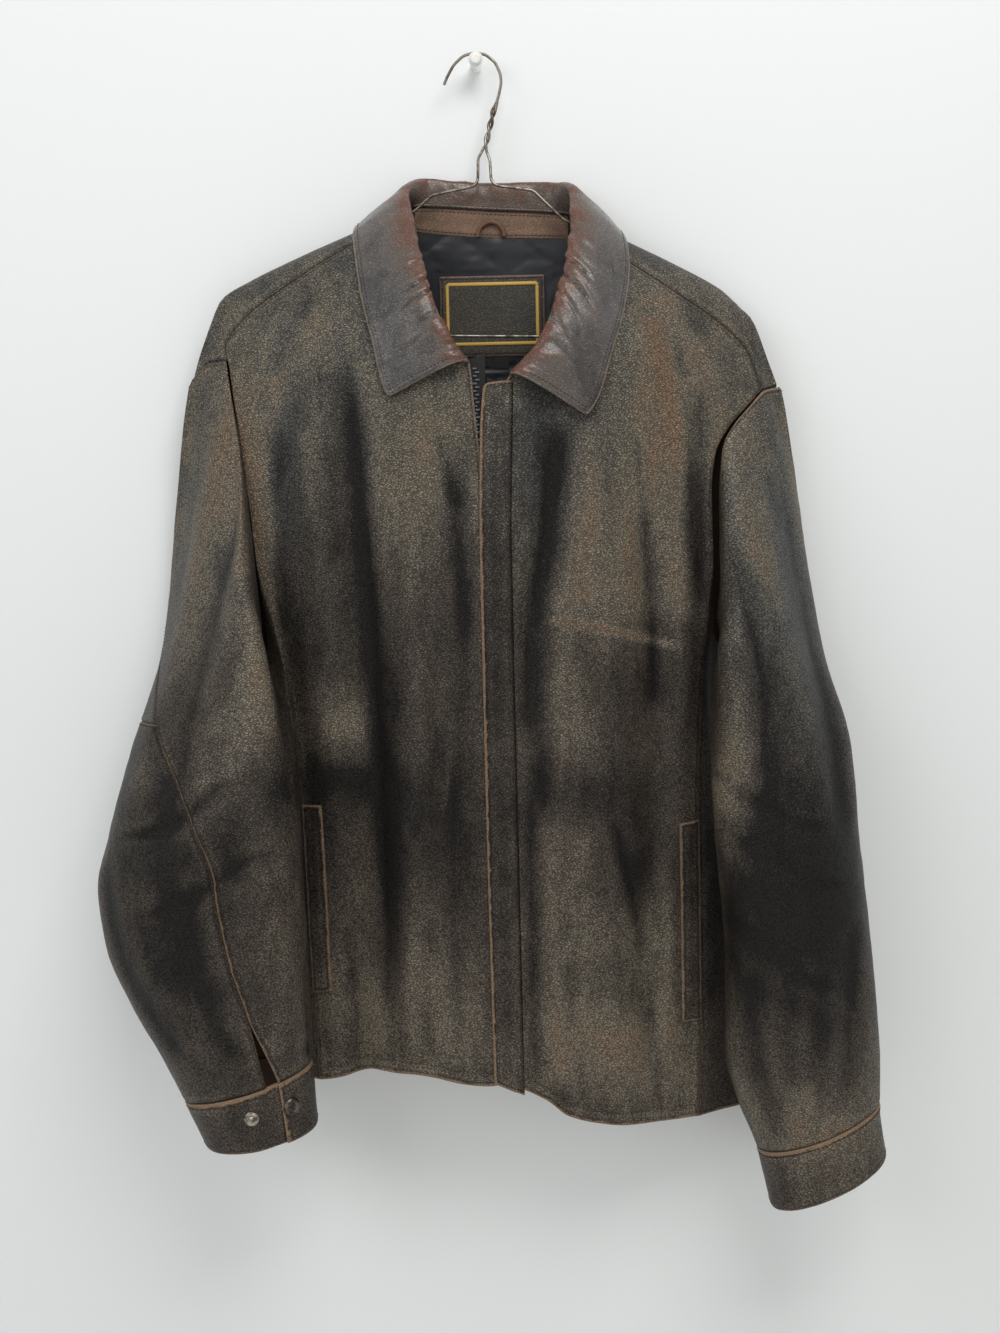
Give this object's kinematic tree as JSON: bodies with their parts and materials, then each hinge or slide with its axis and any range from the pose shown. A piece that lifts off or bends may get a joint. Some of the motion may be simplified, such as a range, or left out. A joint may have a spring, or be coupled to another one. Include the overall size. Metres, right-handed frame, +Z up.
{
  "type": "leather jacket on wire hanger",
  "caption": "Worn dark leather jacket with a turn-down collar and a covered zip, hanging on a bent-wire hanger from a small wall knob.",
  "frame": {"origin": "centre of the wall knob's flat back, on the wall plane y = 0", "axes": "+Y points into the wall, so the jacket's front faces -Y; +Z is up; +X is towards the wearer's left, which is the right of a viewer who faces the jacket"},
  "size_m": [0.6324, 0.1725, 0.9525],
  "materials": {
    "leather": "worn, waxy, rubbed at folds and edges",
    "collar_leather": "worn to red-brown along the roll line",
    "neck_leather": "dark brown, dull",
    "lining": "quilted satin",
    "label_leather": "embossed patch with a plain gilt frame",
    "tab_cloth": "woven tab, bare",
    "zip_tape": "woven tape with metal teeth",
    "snap_metal": "darkened, rubbed",
    "hanger_wire": "dull, slightly rusted wire",
    "knob_white": "smooth"
  },
  "bodies": {
    "root": {"back": "leather", "care_tab": "tab_cloth", "collar": "collar_leather", "cuff_left": "leather", "cuff_right": "leather", "front_left": "leather", "front_right": "leather", "hanger": "hanger_wire", "hanger_loop": "neck_leather", "label_patch": "label_leather", "lining": "lining", "neck_facing": "neck_leather", "neck_seam": "neck_leather", "placket": "leather", "side_left": "leather", "side_right": "leather", "size_tab": "tab_cloth", "sleeve_lower_back_left": "leather", "sleeve_lower_back_right": "leather", "sleeve_top_left": "leather", "sleeve_top_right": "leather", "sleeve_upper_back_left": "leather", "sleeve_upper_back_right": "leather", "snap_cap": "snap_metal", "snap_stud": "snap_metal", "under_collar": "collar_leather", "wall_knob": "knob_white", "welt_left": "leather", "welt_right": "leather", "zip_tape_left": "zip_tape", "zip_tape_right": "zip_tape"}
  },
  "joints": []
}
